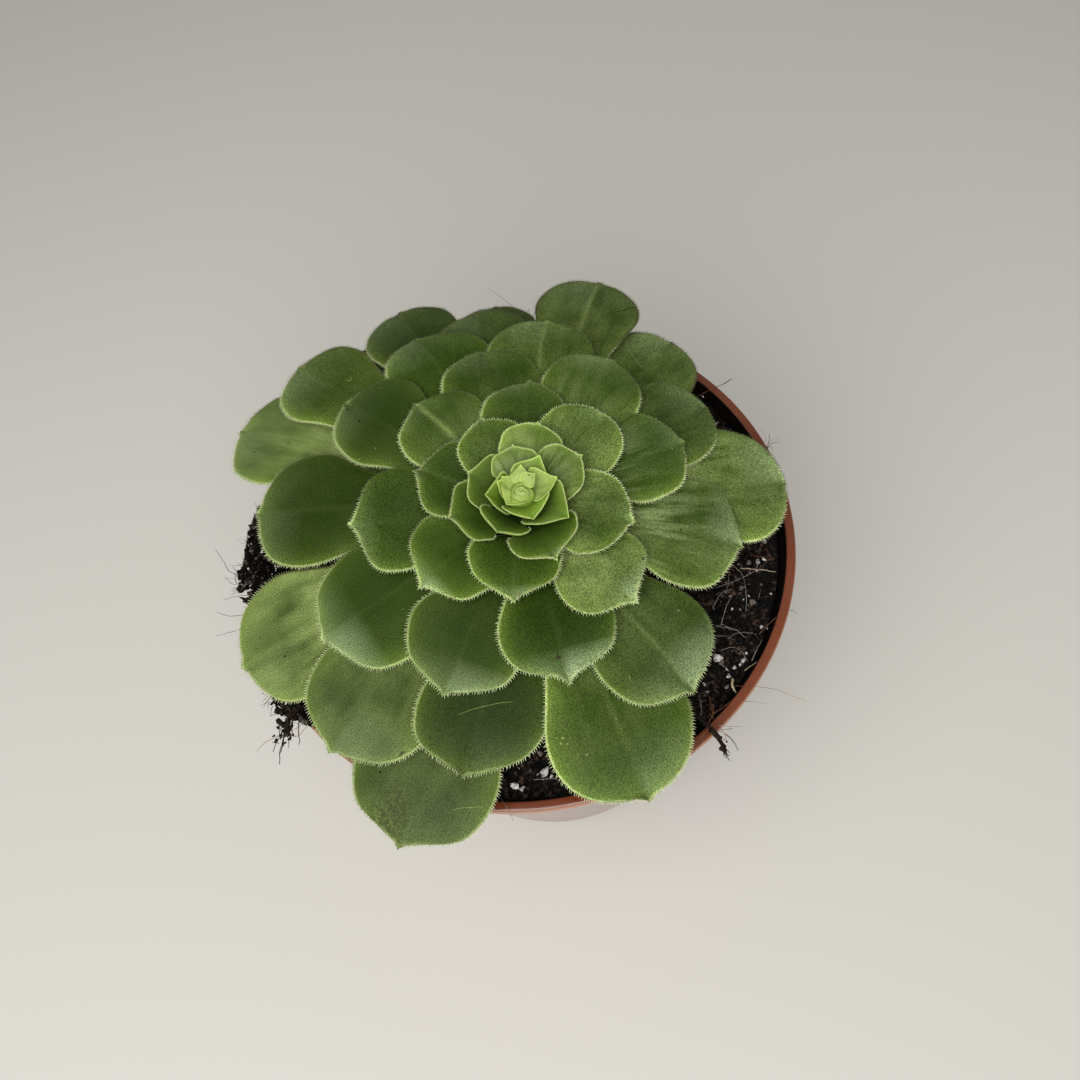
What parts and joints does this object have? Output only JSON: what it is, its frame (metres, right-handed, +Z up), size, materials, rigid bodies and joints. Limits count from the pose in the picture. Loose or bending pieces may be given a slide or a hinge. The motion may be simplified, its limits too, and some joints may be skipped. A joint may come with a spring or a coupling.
{
  "type": "potted aeonium",
  "caption": "Low open rosette of broad spoon-shaped succulent leaves on a short stem, planted in peat in a round tapered plastic nursery pot with a narrow flat lip.",
  "frame": {"origin": "centre of the underside of the pot", "axes": "+Z up along the axis of the pot, -Y towards the viewer of the picture, +X to that viewer's right"},
  "size_m": [0.1253, 0.1246, 0.1358],
  "materials": {
    "leaf": "velvety green, lighter towards the edge",
    "young_leaf": "velvety yellow-green",
    "stem": "matte, ringed with old leaf scars",
    "peat": "matte, crumbly, with pale grains",
    "root": "matte, rough",
    "pot": "satin brown-orange"
  },
  "bodies": {
    "root": {"leaf_01": "leaf", "leaf_02": "leaf", "leaf_03": "leaf", "leaf_04": "leaf", "leaf_05": "leaf", "leaf_06": "leaf", "leaf_07": "leaf", "leaf_08": "leaf", "leaf_09": "leaf", "leaf_10": "leaf", "leaf_11": "leaf", "leaf_12": "leaf", "leaf_13": "leaf", "leaf_14": "leaf", "leaf_15": "leaf", "leaf_16": "leaf", "leaf_17": "leaf", "leaf_18": "leaf", "leaf_19": "leaf", "leaf_20": "leaf", "leaf_21": "leaf", "leaf_22": "leaf", "leaf_23": "leaf", "leaf_24": "leaf", "leaf_25": "leaf", "leaf_26": "leaf", "leaf_27": "leaf", "leaf_28": "leaf", "leaf_29": "leaf", "leaf_30": "leaf", "leaf_31": "leaf", "leaf_32": "leaf", "leaf_33": "leaf", "leaf_34": "leaf", "leaf_35": "leaf", "leaf_36": "leaf", "leaf_37": "leaf", "leaf_38": "leaf", "leaf_39": "leaf", "leaf_40": "leaf", "leaf_41": "leaf", "leaf_42": "leaf", "leaf_43": "leaf", "leaf_44": "leaf", "crown": "young_leaf", "stem": "stem", "soil": "peat", "root_clump": "root", "pot": "pot"}
  },
  "joints": []
}
